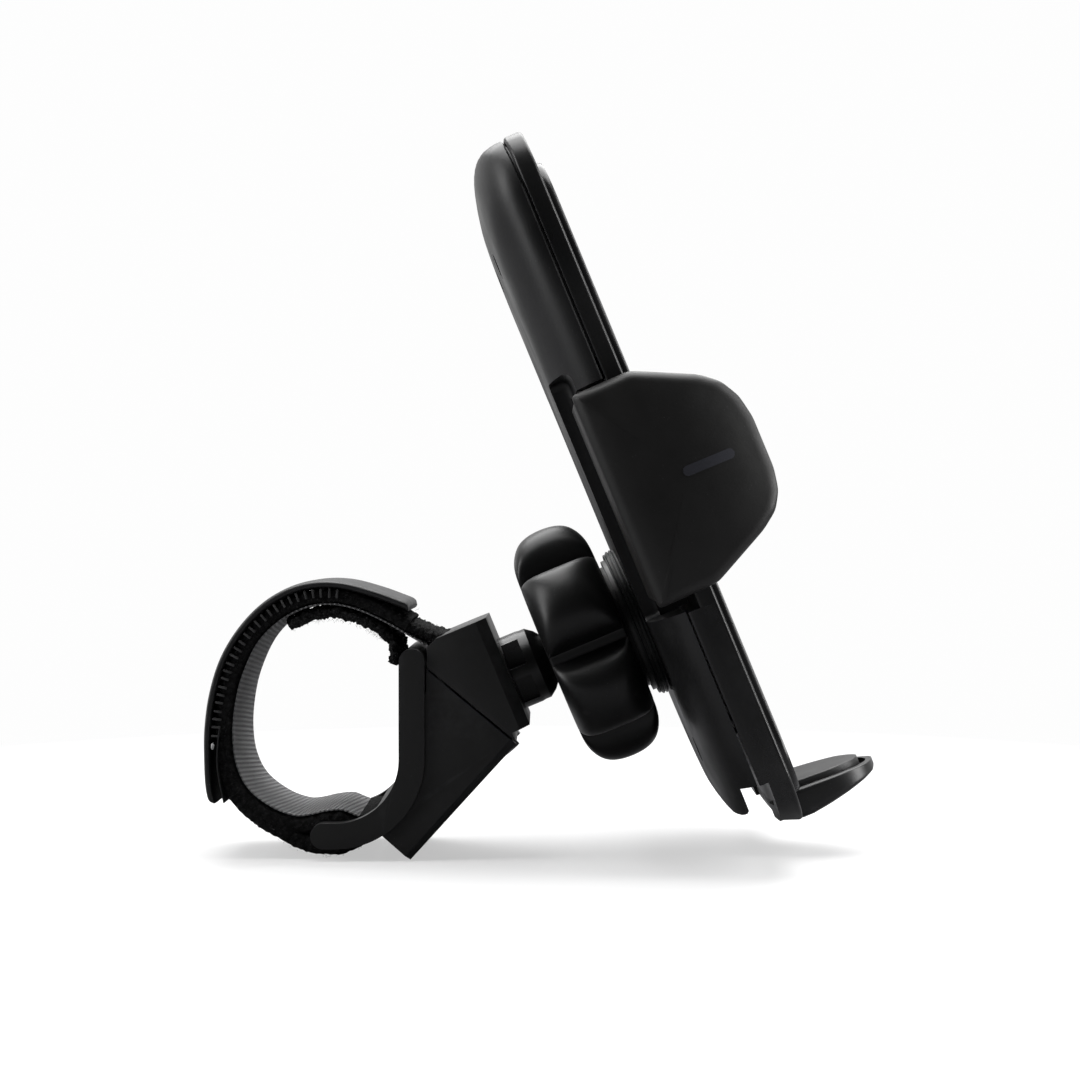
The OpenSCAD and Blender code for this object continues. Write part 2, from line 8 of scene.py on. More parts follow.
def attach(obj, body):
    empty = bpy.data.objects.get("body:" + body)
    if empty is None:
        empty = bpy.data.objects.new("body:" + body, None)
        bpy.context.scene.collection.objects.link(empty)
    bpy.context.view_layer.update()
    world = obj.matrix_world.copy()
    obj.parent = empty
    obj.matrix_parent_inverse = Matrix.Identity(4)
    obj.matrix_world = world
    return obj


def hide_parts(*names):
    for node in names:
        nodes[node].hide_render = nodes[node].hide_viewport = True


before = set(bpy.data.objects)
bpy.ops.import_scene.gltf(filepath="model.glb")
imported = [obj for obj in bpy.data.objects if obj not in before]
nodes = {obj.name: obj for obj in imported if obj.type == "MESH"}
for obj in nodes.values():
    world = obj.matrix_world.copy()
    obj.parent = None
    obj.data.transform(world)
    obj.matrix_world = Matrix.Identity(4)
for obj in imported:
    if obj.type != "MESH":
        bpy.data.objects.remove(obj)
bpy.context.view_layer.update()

mm = 0.001
random.seed(7)

# where the cradle stands: the ball's centre, and how far the face leans back
stand = {"ball": (42.5, 0.0, 13.3), "lean": math.radians(22.5)}


def onCradle(out, side, up):  # a point given from the ball, out of the face, along the bar, up the cradle
    c, s = math.cos(stand["lean"]), math.sin(stand["lean"])
    bx, by, bz = stand["ball"]
    return Vector(((bx + out * c - up * s) * mm, (by + side) * mm, (bz + out * s + up * c) * mm))


def onBar(x, y, z):
    return Vector((x * mm, y * mm, z * mm))


def clearSelection():
    if bpy.context.object and bpy.context.object.mode != "OBJECT":
        bpy.ops.object.mode_set(mode="OBJECT")
    bpy.ops.object.select_all(action="DESELECT")


def pick(obj):
    clearSelection()
    obj.select_set(True)
    bpy.context.view_layer.objects.active = obj


def modify(obj, kind, **settings):
    pick(obj)
    mod = obj.modifiers.new(kind.title(), kind)
    for key, value in settings.items():
        setattr(mod, key, value)
    bpy.ops.object.modifier_apply(modifier=mod.name)


def roundEdges(obj, width, steps=3, angle=30, profile=0.5):
    modify(obj, "BEVEL", width=width * mm, segments=steps, limit_method="ANGLE",
           angle_limit=math.radians(angle), profile=profile, harden_normals=False)


def tidyNormals(obj, merge=0.0):
    pick(obj)
    bpy.ops.object.mode_set(mode="EDIT")
    bpy.ops.mesh.select_all(action="SELECT")
    if merge:
        bpy.ops.mesh.remove_doubles(threshold=merge * mm)
    bpy.ops.mesh.normals_make_consistent(inside=False)
    bpy.ops.object.mode_set(mode="OBJECT")


def closeEnds(obj):
    pick(obj)
    bpy.ops.object.mode_set(mode="EDIT")
    bpy.ops.mesh.select_all(action="SELECT")
    bpy.ops.mesh.fill_holes(sides=0)
    bpy.ops.mesh.normals_make_consistent(inside=False)
    bpy.ops.object.mode_set(mode="OBJECT")


def sheetOfPoints(name, across, along, place):  # a grid whose points are then put where place(u, v) says
    clearSelection()
    bpy.ops.mesh.primitive_grid_add(x_subdivisions=across, y_subdivisions=along, size=2)
    obj = bpy.context.object
    obj.name = name
    count = across + 1
    for i, vert in enumerate(obj.data.vertices):
        vert.co = place((i % count) / across, (i // count) / along)
    return obj


def outline(name, points, place, low, high):  # a flat outline, pulled from low to high
    clearSelection()
    bpy.ops.mesh.primitive_circle_add(vertices=len(points), fill_type="NGON")
    obj = bpy.context.object
    obj.name = name
    for vert, (a, b) in zip(obj.data.vertices, points):
        vert.co = place(a, low, b)
    pull = place(0, high, 0) - place(0, low, 0)
    bpy.ops.object.mode_set(mode="EDIT")
    bpy.ops.mesh.select_all(action="SELECT")
    bpy.ops.mesh.extrude_region_move(TRANSFORM_OT_translate={"value": pull})
    bpy.ops.object.mode_set(mode="OBJECT")
    tidyNormals(obj)
    return obj


def block(name, place, low, high):  # a box between two corners
    (a0, b0, c0), (a1, b1, c1) = low, high
    return outline(name, [(a0, c0), (a1, c0), (a1, c1), (a0, c1)], place, b0, b1)


def roundBar(name, place, start, end, radius, steps=32):  # a cylinder from one point to another
    a, b = place(*start), place(*end)
    clearSelection()
    bpy.ops.mesh.primitive_cylinder_add(vertices=steps, radius=radius * mm, depth=(b - a).length)
    obj = bpy.context.object
    obj.name = name
    turn = (b - a).to_track_quat("Z", "Y").to_matrix().to_4x4()
    obj.data.transform(Matrix.Translation((a + b) / 2) @ turn)
    return obj


def cut(obj, tool, how="DIFFERENCE"):
    modify(obj, "BOOLEAN", object=tool, operation=how, solver="EXACT")
    bpy.data.objects.remove(tool)


def merge(objs, name):
    clearSelection()
    for o in objs:
        o.select_set(True)
    bpy.context.view_layer.objects.active = objs[0]
    bpy.ops.object.join()
    objs[0].name = name
    return objs[0]


def spline(points, steps=8):  # a smooth line through the points
    out = []
    last = len(points) - 1
    for i in range(last):
        a, b, c, d = (Vector(points[min(max(i + k, 0), last)]) for k in (-1, 0, 1, 2))
        for k in range(steps):
            t = k / steps
            out.append(0.5 * (2 * b + (c - a) * t + (2 * a - 5 * b + 4 * c - d) * t * t
                              + (3 * b - a - 3 * c + d) * t * t * t))
    out.append(Vector(points[-1]))
    return out


def evenly(line, count):  # the same line with points at even distances
    lengths = [0.0]
    for a, b in zip(line, line[1:]):
        lengths.append(lengths[-1] + (b - a).length)
    out, j = [], 0
    for i in range(count + 1):
        want = lengths[-1] * i / count
        while j < len(line) - 2 and lengths[j + 1] < want:
            j += 1
        span = lengths[j + 1] - lengths[j] or 1
        out.append(line[j].lerp(line[j + 1], (want - lengths[j]) / span))
    return out, lengths[-1]


def leftSide(line, i):
    d = line[min(i + 1, len(line) - 1)] - line[max(i - 1, 0)]
    return Vector((-d.y, d.x)).normalized()


def finish(obj, body, material, hides=(), smooth=35):
    pick(obj)
    if smooth:
        bpy.ops.object.shade_smooth_by_angle(angle=math.radians(smooth))
    obj.data.materials.clear()
    obj.data.materials.append(material)
    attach(obj, body)
    if hides:
        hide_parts(*hides)
    return obj


def addNode(tree, kind, inputs=None, **settings):
    node = tree.nodes.new(kind)
    for key, value in settings.items():
        setattr(node, key, value)
    for key, value in (inputs or {}).items():
        if isinstance(value, bpy.types.NodeSocket):
            tree.links.new(value, node.inputs[key])
        else:
            node.inputs[key].default_value = value
    return node


def newGroup(name, inputs, outputs):
    tree = bpy.data.node_groups.new(name, "ShaderNodeTree")
    for label, kind, value in inputs:
        socket = tree.interface.new_socket(name=label, in_out="INPUT", socket_type=kind)
        if value is not None:
            socket.default_value = value
    for label, kind in outputs:
        tree.interface.new_socket(name=label, in_out="OUTPUT", socket_type=kind)
    return tree, tree.nodes.new("NodeGroupInput"), tree.nodes.new("NodeGroupOutput")


def math2(tree, how, a, b):
    return addNode(tree, "ShaderNodeMath", {0: a, 1: b}, operation=how).outputs[0]


def timesPlus(tree, a, b, c):
    return addNode(tree, "ShaderNodeMath", {0: a, 1: b, 2: c}, operation="MULTIPLY_ADD").outputs[0]


def remap(tree, value, low, high, newLow=0.0, newHigh=1.0):
    ends = {"Value": value, "From Min": low, "From Max": high, "To Min": newLow, "To Max": newHigh}
    return addNode(tree, "ShaderNodeMapRange", ends).outputs[0]


def speckle(tree, vector, scale, detail, rough=0.5):
    look = {"Vector": vector, "Scale": scale, "Detail": detail, "Roughness": rough}
    return addNode(tree, "ShaderNodeTexNoise", look).outputs["Fac"]


def mixColour(tree, amount, a, b):
    node = tree.nodes.new("ShaderNodeMix")
    node.data_type = "RGBA"
    for index, value in ((0, amount), (6, a), (7, b)):
        if isinstance(value, bpy.types.NodeSocket):
            tree.links.new(value, node.inputs[index])
        else:
            node.inputs[index].default_value = value
    return node.outputs[2]


def makeGrainGroup():  # fine spark-eroded grain of a mould, and its soft unevenness
    tree, gin, gout = newGroup("mouldGrain",
                               [("Vector", "NodeSocketVector", None), ("Scale", "NodeSocketFloat", 3000.0)],
                               [("Height", "NodeSocketFloat"), ("Unevenness", "NodeSocketFloat")])
    where = gin.outputs["Vector"]
    tree.links.new(speckle(tree, where, gin.outputs["Scale"], 3.0, 0.6), gout.inputs["Height"])
    tree.links.new(speckle(tree, where, 90.0, 4.0, 0.55), gout.inputs["Unevenness"])
    return tree


def makeWearGroup():  # lighter, shinier edges, broken up so that they are not an even line
    tree, gin, gout = newGroup("edgeWear",
                               [("Vector", "NodeSocketVector", None), ("Amount", "NodeSocketFloat", 0.5)],
                               [("Mask", "NodeSocketFloat")])
    shape = tree.nodes.new("ShaderNodeNewGeometry")
    edge = remap(tree, shape.outputs["Pointiness"], 0.52, 0.60)
    broken = remap(tree, speckle(tree, gin.outputs["Vector"], 380.0, 5.0, 0.65), 0.35, 0.65)
    mask = math2(tree, "MULTIPLY", edge, broken)
    tree.links.new(math2(tree, "MULTIPLY", mask, gin.outputs["Amount"]), gout.inputs["Mask"])
    return tree


def makeDustGroup():  # light specks of dust and lint that gather here and there
    tree, gin, gout = newGroup("dust",
                               [("Vector", "NodeSocketVector", None), ("Size", "NodeSocketFloat", 1500.0),
                                ("Amount", "NodeSocketFloat", 0.5)],
                               [("Mask", "NodeSocketFloat")])
    where = gin.outputs["Vector"]
    spot = addNode(tree, "ShaderNodeTexVoronoi", {"Vector": where, "Scale": gin.outputs["Size"]})
    dot = remap(tree, spot.outputs["Distance"], 0.16, 0.06)
    near = remap(tree, speckle(tree, where, 260.0, 2.0), 0.52, 0.68)
    mask = math2(tree, "MULTIPLY", dot, near)
    tree.links.new(math2(tree, "MULTIPLY", mask, gin.outputs["Amount"]), gout.inputs["Mask"])
    return tree


def makeTwillGroup():  # ribbed tape: ribs across it, crossed by finer slanted threads; the second output is painted shade, darker in the hollows between ribs and threads and lighter on their tops
    tree, gin, gout = newGroup("ribbedTape",
                               [("Vector", "NodeSocketVector", None), ("Rib", "NodeSocketFloat", 1.1),
                                ("Thread", "NodeSocketFloat", 0.42)],
                               [("Height", "NodeSocketFloat"), ("Shade", "NodeSocketFloat")])
    apart = addNode(tree, "ShaderNodeSeparateXYZ", {0: gin.outputs["Vector"]})
    along, over = apart.outputs[0], apart.outputs[1]
    turn = 2 * math.pi
    slant = timesPlus(tree, over, 0.12, along)
    rib = math2(tree, "MULTIPLY", math2(tree, "DIVIDE", slant, gin.outputs["Rib"]), turn)
    thread = math2(tree, "MULTIPLY", math2(tree, "DIVIDE", over, gin.outputs["Thread"]), turn)
    rib = addNode(tree, "ShaderNodeMath", {0: rib}, operation="SINE").outputs[0]
    thread = addNode(tree, "ShaderNodeMath", {0: thread}, operation="SINE").outputs[0]
    fray = speckle(tree, gin.outputs["Vector"], 2.4, 5.0, 0.7)
    height = timesPlus(tree, fray, 1.1, timesPlus(tree, thread, 0.35, rib))
    tree.links.new(height, gout.inputs["Height"])
    # painted shade: this value follows the height, dark in the hollows and light on the tops
    tree.links.new(remap(tree, height, -0.9, 2.0), gout.inputs["Shade"])
    return tree


def makePileGroup():  # napped loops: small tufts, with lint caught between them; the second output is painted shade, darker in the hollows between the tufts and lighter on their tops
    tree, gin, gout = newGroup("pile",
                               [("Vector", "NodeSocketVector", None), ("Scale", "NodeSocketFloat", 1400.0)],
                               [("Height", "NodeSocketFloat"), ("Shade", "NodeSocketFloat")])
    where = gin.outputs["Vector"]
    tuft = addNode(tree, "ShaderNodeTexVoronoi", {"Vector": where, "Scale": gin.outputs["Scale"]})
    hair = speckle(tree, where, 4200.0, 4.0, 0.75)
    height = timesPlus(tree, hair, 0.9, math2(tree, "SUBTRACT", 1.0, tuft.outputs["Distance"]))
    tree.links.new(height, gout.inputs["Height"])
    # painted shade: this value follows the height, dark in the hollows and light on the tops
    tree.links.new(remap(tree, height, 0.6, 1.6), gout.inputs["Shade"])
    return tree


grainGroup = makeGrainGroup()
wearGroup = makeWearGroup()
dustGroup = makeDustGroup()
twillGroup = makeTwillGroup()
pileGroup = makePileGroup()


def startMaterial(name):
    material = bpy.data.materials.new(name)
    material.use_nodes = True
    tree = material.node_tree
    shader = tree.nodes["Principled BSDF"]
    place = tree.nodes.new("ShaderNodeTexCoord")
    return material, tree, shader, place


def placeGroup(tree, group, inputs):
    node = tree.nodes.new("ShaderNodeGroup")
    node.node_tree = group
    for key, value in inputs.items():
        if isinstance(value, bpy.types.NodeSocket):
            tree.links.new(value, node.inputs[key])
        else:
            node.inputs[key].default_value = value
    return node


def bump(tree, shader, height, strength, distance):
    depth = {"Height": height, "Strength": strength, "Distance": distance * mm}
    tree.links.new(addNode(tree, "ShaderNodeBump", depth).outputs[0], shader.inputs["Normal"])


def mouldedPlastic(name, colour, worn, rough, grainScale=3200.0, grainDepth=0.012, wear=0.5, dusty=0.25,
                   gloss=0.5, spread=0.16):
    material, tree, shader, place = startMaterial(name)
    where = place.outputs["Object"]
    grain = placeGroup(tree, grainGroup, {"Vector": where, "Scale": grainScale})
    edge = placeGroup(tree, wearGroup, {"Vector": where, "Amount": wear})
    dust = placeGroup(tree, dustGroup, {"Vector": where, "Size": 1600.0, "Amount": dusty})
    darker = (*[c * 0.8 for c in colour], 1)
    lighter = (*[c * 1.25 for c in colour], 1)
    patchy = mixColour(tree, grain.outputs["Unevenness"], darker, lighter)
    rubbed = mixColour(tree, edge.outputs["Mask"], patchy, (*worn, 1))
    dusted = mixColour(tree, dust.outputs["Mask"], rubbed, (0.16, 0.16, 0.165, 1))
    tree.links.new(dusted, shader.inputs["Base Color"])
    base = remap(tree, grain.outputs["Unevenness"], 0.3, 0.7, rough - spread / 2, rough + spread / 2)
    tree.links.new(timesPlus(tree, edge.outputs["Mask"], -0.12, base), shader.inputs["Roughness"])
    shader.inputs["Specular IOR Level"].default_value = gloss
    bump(tree, shader, grain.outputs["Height"], 0.6, grainDepth)
    return material


def metal(name, colour, rough):
    material, tree, shader, place = startMaterial(name)
    where = place.outputs["Object"]
    stretch = addNode(tree, "ShaderNodeMapping", {"Vector": where, "Scale": (1.0, 1.0, 9.0)})
    line = speckle(tree, stretch.outputs[0], 900.0, 5.0)
    shade = mixColour(tree, line, (*[c * 0.75 for c in colour], 1), (*colour, 1))
    tree.links.new(shade, shader.inputs["Base Color"])
    tree.links.new(remap(tree, line, 0.0, 1.0, rough - 0.08, rough + 0.12), shader.inputs["Roughness"])
    shader.inputs["Metallic"].default_value = 1.0
    bump(tree, shader, line, 0.2, 0.01)
    return material


shellBlack = mouldedPlastic("shellBlack", (0.0075, 0.0075, 0.0080), (0.030, 0.030, 0.032), 0.40, wear=0.35,
                            gloss=0.42)
frameBlack = mouldedPlastic("frameBlack", (0.0075, 0.0075, 0.0078), (0.045, 0.045, 0.047), 0.34, wear=0.6,
                            gloss=0.45)
armBlack = mouldedPlastic("armBlack", (0.0100, 0.0097, 0.0095), (0.040, 0.038, 0.036), 0.47,
                          grainScale=2600.0, grainDepth=0.02, gloss=0.42)
panelBlack = mouldedPlastic("panelBlack", (0.006, 0.006, 0.0065), (0.02, 0.02, 0.02), 0.28, wear=0.2)
nutBlack = mouldedPlastic("nutBlack", (0.0060, 0.0060, 0.0062), (0.035, 0.035, 0.036), 0.38,
                          grainDepth=0.008, gloss=0.4, spread=0.1)
bracketBlack = mouldedPlastic("bracketBlack", (0.0200, 0.0200, 0.0202), (0.050, 0.050, 0.052), 0.45,
                              gloss=0.4)
ballBlack = mouldedPlastic("ballBlack", (0.0065, 0.0065, 0.0066), (0.03, 0.03, 0.03), 0.33, gloss=0.45)
padRubber = mouldedPlastic("padRubber", (0.014, 0.014, 0.0145), (0.03, 0.03, 0.03), 0.48, grainScale=1800.0,
                           grainDepth=0.03, wear=0.2)
markGrey = mouldedPlastic("markGrey", (0.034, 0.035, 0.044), (0.07, 0.07, 0.08), 0.55, wear=0.3, gloss=0.3)
coverRubber = mouldedPlastic("coverRubber", (0.012, 0.012, 0.0125), (0.06, 0.06, 0.062), 0.50,
                             grainScale=2100.0, grainDepth=0.03, wear=0.6, dusty=0.5, gloss=0.45)
linerNylon = mouldedPlastic("linerNylon", (0.62, 0.61, 0.57), (0.75, 0.74, 0.7), 0.42, wear=0.3, dusty=0.1)
boardGreen = mouldedPlastic("boardGreen", (0.012, 0.09, 0.035), (0.2, 0.25, 0.12), 0.35, wear=0.6, dusty=0.3)
zincSteel = metal("zincSteel", (0.62, 0.62, 0.64), 0.34)
cutBrass = metal("cutBrass", (0.72, 0.53, 0.22), 0.28)
cellFoil = metal("cellFoil", (0.45, 0.5, 0.56), 0.42)


def siliconCell():
    material, tree, shader, place = startMaterial("siliconCell")
    where = place.outputs["Object"]
    turn = addNode(tree, "ShaderNodeMapping", {"Vector": where, "Rotation": (0, -stand["lean"], 0)})
    line = addNode(tree, "ShaderNodeTexWave", {"Vector": turn.outputs[0], "Scale": 160.0},
                   bands_direction="Z")
    thin = remap(tree, line.outputs["Fac"], 0.94, 0.99)
    grain = placeGroup(tree, grainGroup, {"Vector": where, "Scale": 1200.0})
    base = mixColour(tree, grain.outputs["Unevenness"], (0.006, 0.009, 0.03, 1), (0.012, 0.018, 0.06, 1))
    tree.links.new(mixColour(tree, thin, base, (0.4, 0.4, 0.42, 1)), shader.inputs["Base Color"])
    shader.inputs["Roughness"].default_value = 0.2
    bump(tree, shader, grain.outputs["Height"], 0.3, 0.005)
    return material


def tapeMaterial(name, dark, light, depth):  # its pattern follows the tape's own UV, in millimetres
    material, tree, shader, place = startMaterial(name)
    twill = placeGroup(tree, twillGroup, {"Vector": place.outputs["UV"], "Rib": 0.75, "Thread": 0.5})
    # painted shade: the tape is darker in the hollows of its ribs and lighter on their tops
    shade = mixColour(tree, twill.outputs["Shade"], (*dark, 1), (*light, 1))
    dust = placeGroup(tree, dustGroup, {"Vector": place.outputs["Object"], "Size": 1500.0, "Amount": 0.5})
    dusted = mixColour(tree, dust.outputs["Mask"], shade, (0.35, 0.35, 0.36, 1))
    tree.links.new(dusted, shader.inputs["Base Color"])
    shader.inputs["Roughness"].default_value = 0.85
    shader.inputs["Sheen Weight"].default_value = 0.25
    shader.inputs["Specular IOR Level"].default_value = 0.25
    bump(tree, shader, twill.outputs["Height"], 0.9, depth)
    return material


def pileMaterial(name, dark, light, lint, scale=1400.0):
    material, tree, shader, place = startMaterial(name)
    pile = placeGroup(tree, pileGroup, {"Vector": place.outputs["Object"], "Scale": scale})
    # painted shade: the pile is darker in the hollows between the tufts and lighter on their tops
    shade = mixColour(tree, pile.outputs["Shade"], (*dark, 1), (*light, 1))
    dust = placeGroup(tree, dustGroup, {"Vector": place.outputs["Object"], "Size": 1300.0, "Amount": lint})
    dusted = mixColour(tree, dust.outputs["Mask"], shade, (0.24, 0.24, 0.25, 1))
    tree.links.new(dusted, shader.inputs["Base Color"])
    shader.inputs["Roughness"].default_value = 0.95
    shader.inputs["Specular IOR Level"].default_value = 0.1
    bump(tree, shader, pile.outputs["Height"], 1.0, 0.25)
    return material


cellDark = siliconCell()
liningGrey = tapeMaterial("liningGrey", (0.10, 0.10, 0.102), (0.33, 0.33, 0.335), 0.12)
webBlack = pileMaterial("webBlack", (0.0090, 0.0090, 0.0092), (0.032, 0.032, 0.0325), 0.6)
tuftBlack = pileMaterial("tuftBlack", (0.012, 0.012, 0.012), (0.060, 0.060, 0.061), 0.9, 1900.0)
print("materials ready")


view = {"eye": (34.65, -300.0, 29.6), "lens": 62.2, "floor": -20.0, "white": 0.985}


def setStage():
    scene = bpy.context.scene
    scene.view_settings.view_transform = "Standard"
    clearSelection()
    bpy.ops.object.camera_add(location=onBar(*view["eye"]), rotation=(math.pi / 2, 0, 0))
    camera = bpy.context.object
    camera.data.lens = view["lens"]
    camera.data.sensor_width = 36
    camera.data.clip_start = 0.01
    camera.data.clip_end = 20
    scene.camera = camera

    bpy.ops.mesh.primitive_plane_add(size=6, location=(0, 1.0, view["floor"] * mm))
    floor = bpy.context.object
    floor.name = "floor"
    material, tree, shader, place = startMaterial("whitePaper")
    fibre = speckle(tree, place.outputs["Object"], 30.0, 3.0)
    paper = mixColour(tree, fibre, (0.90, 0.90, 0.905, 1), (0.93, 0.93, 0.93, 1))
    tree.links.new(paper, shader.inputs["Base Color"])
    shader.inputs["Roughness"].default_value = 0.9
    shader.inputs["Specular IOR Level"].default_value = 0.1
    # the sheet fades into the white behind it, away from the object
    away = addNode(tree, "ShaderNodeVectorMath", {0: place.outputs["Object"], 1: (0.035, -1.0, 0.0)},
                   operation="DISTANCE")
    far = remap(tree, away.outputs["Value"], 0.09, 0.20, 0.5)
    glow = addNode(tree, "ShaderNodeEmission", {"Color": (1, 1, 1, 1), "Strength": view["white"]})
    fade = addNode(tree, "ShaderNodeMixShader", {0: far})
    tree.links.new(shader.outputs[0], fade.inputs[1])
    tree.links.new(glow.outputs[0], fade.inputs[2])
    dim = addNode(tree, "ShaderNodeBsdfDiffuse", {"Color": (0.18, 0.18, 0.185, 1)})
    seen = tree.nodes.new("ShaderNodeLightPath")
    blend = addNode(tree, "ShaderNodeMixShader", {0: seen.outputs["Is Camera Ray"]})
    tree.links.new(dim.outputs[0], blend.inputs[1])
    tree.links.new(fade.outputs[0], blend.inputs[2])
    tree.links.new(blend.outputs[0], tree.nodes["Material Output"].inputs["Surface"])
    floor.data.materials.append(material)

    world = bpy.data.worlds.new("studio")
    scene.world = world
    world.use_nodes = True
    tree = world.node_tree
    back = tree.nodes["Background"]
    back.inputs["Color"].default_value = (1, 1, 1, 1)
    seen = tree.nodes.new("ShaderNodeLightPath")
    # a white sweep behind the object, a dim room in front of it
    sky = tree.nodes.new("ShaderNodeTexCoord")
    way = addNode(tree, "ShaderNodeSeparateXYZ", {0: sky.outputs["Generated"]})
    room = remap(tree, way.outputs["Y"], -0.1, 0.75, 0.032, 0.75)
    level = remap(tree, seen.outputs["Is Camera Ray"], 0.0, 1.0, room, view["white"])
    tree.links.new(level, back.inputs["Strength"])


def softBox(name, place, aim, width, height, power):
    clearSelection()
    bpy.ops.object.light_add(type="AREA", location=onBar(*place))
    lamp = bpy.context.object
    lamp.name = name
    lamp.data.shape = "RECTANGLE"
    lamp.data.size = width * mm
    lamp.data.size_y = height * mm
    lamp.data.energy = power
    lamp.rotation_euler = (onBar(*aim) - onBar(*place)).to_track_quat("-Z", "Y").to_euler()


setStage()
softBox("topBox", (40, 150, 490), (40, 0, 0), 660, 660, 6.2)
softBox("leftBox", (-420, -70, 170), (20, 0, 20), 200, 420, 1.3)
softBox("rightBox", (480, -90, 190), (60, 0, 20), 160, 420, 2.0)
print("stage ready")


def softCopy(node, name, width, steps=2):  # a CAD node's shape with its edges eased
    clearSelection()
    obj = nodes[node].copy()
    obj.data = nodes[node].data.copy()
    for key in list(obj.keys()):
        del obj[key]
    obj.parent = None
    obj.name = name
    bpy.context.scene.collection.objects.link(obj)
    pick(obj)
    bpy.ops.object.mode_set(mode="EDIT")
    bpy.ops.mesh.select_all(action="SELECT")
    bpy.ops.mesh.remove_doubles(threshold=0.0005 * mm)
    bpy.ops.mesh.dissolve_limited(angle_limit=math.radians(1.5))
    bpy.ops.object.mode_set(mode="OBJECT")
    roundEdges(obj, width, steps, 32, 0.6)
    return obj


saddle = softCopy("saddle_bracket", "saddleBracket", 0.55, 4)
finish(saddle, "base", bracketBlack, ["saddle_bracket"], 40)
lowerWedge = softCopy("wedge_block", "wedgeBlock", 0.22)
finish(lowerWedge, "base", bracketBlack, ["wedge_block"], 40)
upperWedge = softCopy("wedge_cap", "wedgeCap", 0.22)
finish(upperWedge, "base", bracketBlack, ["wedge_cap"], 40)
stud = softCopy("ball_stud", "ballStud", 0.25, 3)
finish(stud, "base", ballBlack, ["ball_stud"], 40)
print("bracket, wedge and stud ready")


strapSize = {"half": 10.0, "band": 3.1, "lining": 0.32, "cover": 1.45, "coverHalf": 10.6}
innerLine = [(7.2, -13.5), (5.6, -12.8), (3.7, -12.15), (1.0, -12.4), (-1.2, -12.9), (-3.6, -13.0),
             (-7.0, -11.7), (-10.45, -9.0), (-12.3, -5.4), (-12.9, -1.0), (-12.55, 3.8), (-11.5, 8.3),
             (-9.2, 13.3), (-6.0, 16.7), (-2.0, 18.9), (2.0, 19.5), (5.8, 18.8), (9.8, 17.1), (13.4, 15.1),
             (17.2, 12.9)]


def ribbon(name, line, near, far, half, steps=(10, 60), corner=0.3, wobble=None, taper=None):
    # a strip whose section is a rounded oblong, from near to far on the left of the line
    flat, length = evenly(spline(line), steps[1])
    around = 4 * steps[0]
    halfThick = (far - near) / 2

    def section(t):  # the rounded oblong, by an angle that is led round it
        a = 2 * math.pi * t
        c, s = math.cos(a), math.sin(a)
        return (math.copysign(abs(c) ** corner, c), math.copysign(abs(s) ** corner, s))

    ring = [section((k + 0.5) / around) for k in range(around)] + [section(0.5 / around)]

    def place(u, v):
        i = round(v * steps[1])
        wide, thick = ring[round(u * around)]
        side = leftSide(flat, i)
        lean = taper(v) if taper else 1.0
        off = near + (thick + 1) * halfThick * lean
        p = flat[i] + side * off
        y = wide * half
        q = Vector((p.x, y, p.y))
        if wobble:
            q += wobble(wide, thick, q, side)
        return q * mm

    obj = sheetOfPoints(name, around, steps[1], place)
    layer = obj.data.uv_layers.active or obj.data.uv_layers.new(name="UVMap")
    for loop in obj.data.loops:
        i = loop.vertex_index
        u, v = (i % (around + 1)), (i // (around + 1)) / steps[1]
        wide, thick = ring[u]
        layer.data[loop.index].uv = (v * length, wide * half)
    tidyNormals(obj, 0.002)
    closeEnds(obj)
    return obj


def lumps(size, amount, seed, edge=1.0):  # uneven pile: pushes the surface out and in
    def push(wide, thick, q, side):
        p = Vector((q.x + seed, q.y, q.z)) / size
        n = noise.noise(p) + 0.5 * noise.noise(p * 2.3)
        out = Vector((side.x * thick, 0.6 * wide, side.y * thick)) * n * amount
        return out * (edge if abs(wide) > 0.8 else 1.0)
    return push


lining = ribbon("strapLining", innerLine, 0.0, strapSize["lining"], strapSize["half"], (8, 150), 0.25)
finish(lining, "base", liningGrey, ["strap_inner_leg"], 60)
bandHalf = strapSize["half"] + 0.15
band = ribbon("strapBand", innerLine[:-1], strapSize["lining"], strapSize["band"], bandHalf, (8, 240), 0.3,
              lumps(0.9, 0.16, 3.0, 1.6), lambda v: 1.0 - 0.2 * min(1, max(0, (v - 0.55) / 0.2)))
foldLine = [(8.7, -12.8), (9.0, -15.2), (7.7, -17.6), (4.9, -19.1), (2.3, -19.6), (-1.9, -19.0), (-6.0, -17.1),
            (-10.9, -14.0), (-14.0, -10.6), (-15.4, -7.0), (-15.7, -4.0)]
fold = ribbon("fold", foldLine, -2.9, 0.0, strapSize["half"] + 0.1, (8, 120), 0.3,
              lumps(0.9, 0.16, 9.0, 1.6))
band = merge([band, fold], "strapBand")
finish(band, "base", webBlack, ["strap_outer_leg"], 60)

coverLine = [(-15.6, -11.2), (-16.15, -8.6), (-16.35, -4.6), (-16.3, 0.2), (-15.6, 5.4), (-14.0, 10.6),
             (-11.4, 15.0), (-8.0, 18.6), (-4.2, 20.9), (-0.4, 21.9), (3.8, 21.8), (8.4, 20.6), (12.0, 19.3),
             (14.1, 18.5)]
cover = ribbon("strapCover", coverLine, 0.0, strapSize["cover"], strapSize["coverHalf"], (10, 160), 0.5,
               None, lambda v: 0.35 + 0.65 * math.sqrt(1 - (1 - min(1, min(v, 1 - v) / 0.022)) ** 2))
finish(cover, "base", coverRubber, ["strap_cover"], 60)


hookSize = {"apart": 1.3, "first": 10.5, "clear": 20, "deep": 0.62, "out": 0.12, "tall": 1.25, "wide": 0.7,
            "thick": 0.36}


